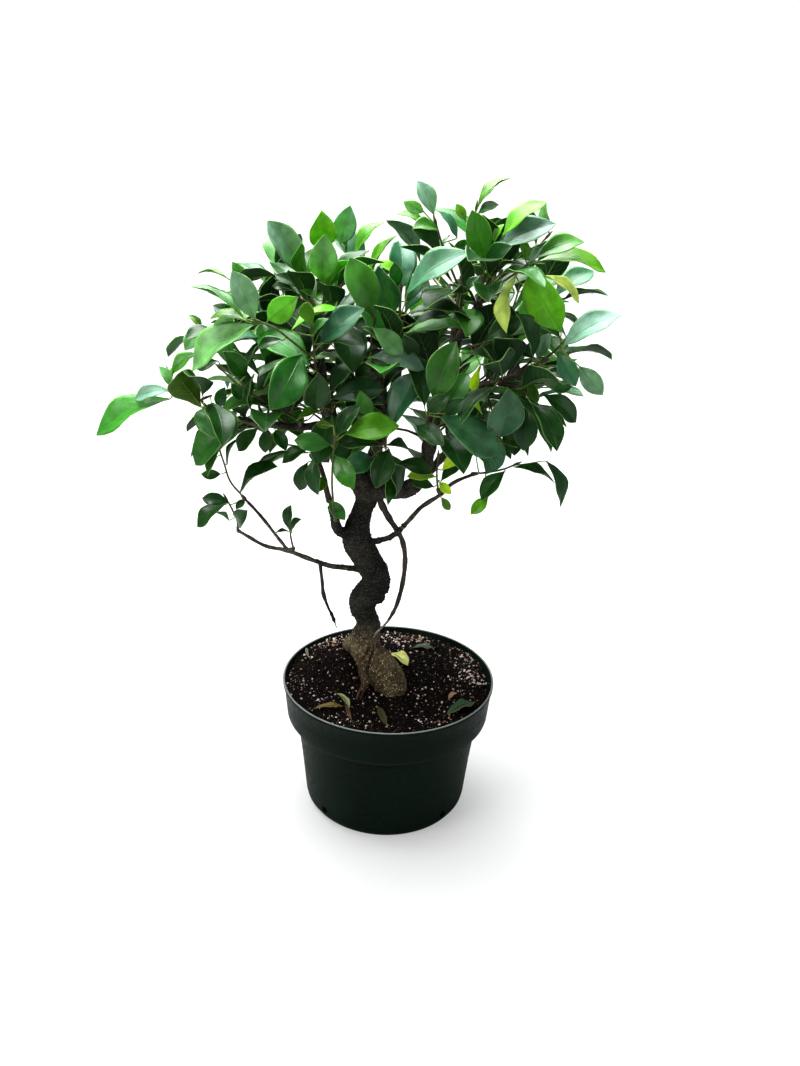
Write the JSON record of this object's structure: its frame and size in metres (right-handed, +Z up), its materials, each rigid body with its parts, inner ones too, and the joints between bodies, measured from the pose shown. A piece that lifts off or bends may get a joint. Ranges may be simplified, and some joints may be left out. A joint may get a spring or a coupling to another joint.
{
  "type": "tiger bark ficus bonsai",
  "caption": "Ficus bonsai with a curved trunk, hanging roots and a two-lobed leafy crown, growing in soil in a round plastic nursery pot with a deep rim band.",
  "frame": {"origin": "centre of the pot's underside, in the plane that the pot stands on", "axes": "+Z up along the pot's axis; -Y towards the tree's front; +X to the front view's right"},
  "size_m": [0.4332, 0.2781, 0.5795],
  "materials": {
    "pot": "dark green moulded plastic with a slight sheen and faint scuffs",
    "soil": "dark brown potting mix with white perlite",
    "bark": "grey-brown bark with fine pale specks",
    "leaf": "glossy green leaf with a pale margin and midrib",
    "leaf_fallen": "dry yellow-green leaf"
  },
  "bodies": {
    "root": {"fallen_leaf_green": "leaf", "fallen_leaf_grey": "leaf", "fallen_leaf_sliver": "leaf_fallen", "fallen_leaf_tan": "leaf_fallen", "fallen_leaf_yellow": "leaf_fallen", "pot": "pot", "shoot_back_centre_crest": "leaf", "shoot_back_centre_deep": "leaf", "shoot_back_centre_low": "leaf", "shoot_back_inner_left": "leaf", "shoot_back_left_crest": "leaf", "shoot_back_left_deep": "leaf", "shoot_back_left_low": "leaf", "shoot_back_left_side": "leaf", "shoot_back_middle_crest": "leaf", "shoot_back_right_crest": "leaf", "shoot_back_right_deep": "leaf", "shoot_back_right_low": "leaf", "shoot_back_right_side": "leaf", "shoot_back_right_under": "leaf", "shoot_centre_arch": "leaf", "shoot_centre_crest": "leaf", "shoot_centre_drop": "leaf", "shoot_centre_fan": "leaf", "shoot_centre_low": "leaf", "shoot_crest_left": "leaf", "shoot_crest_middle": "leaf", "shoot_crest_right": "leaf", "shoot_far_left": "leaf", "shoot_front_left": "leaf", "shoot_inner_centre": "leaf", "shoot_inner_centre_right": "leaf", "shoot_inner_left": "leaf", "shoot_inner_left_low": "leaf", "shoot_inner_left_top": "leaf", "shoot_inner_right": "leaf", "shoot_left_centre": "leaf", "shoot_left_crest": "leaf", "shoot_left_hanging": "leaf", "shoot_left_heart": "leaf", "shoot_left_low_front": "leaf", "shoot_left_pocket": "leaf", "shoot_left_shoulder": "leaf", "shoot_low_left_end": "leaf", "shoot_low_left_rise": "leaf", "shoot_low_left_sprig": "leaf", "shoot_right_back_crest": "leaf", "shoot_right_crest": "leaf", "shoot_right_crest_left": "leaf", "shoot_right_crown": "leaf", "shoot_right_end": "leaf", "shoot_right_hanging": "leaf", "shoot_right_heart": "leaf", "shoot_right_leaf_oval": "leaf", "shoot_right_lime": "leaf", "shoot_right_lime_drop": "leaf", "shoot_right_low_end": "leaf", "shoot_right_shoulder": "leaf", "soil": "soil", "tree": "bark"}
  },
  "joints": []
}
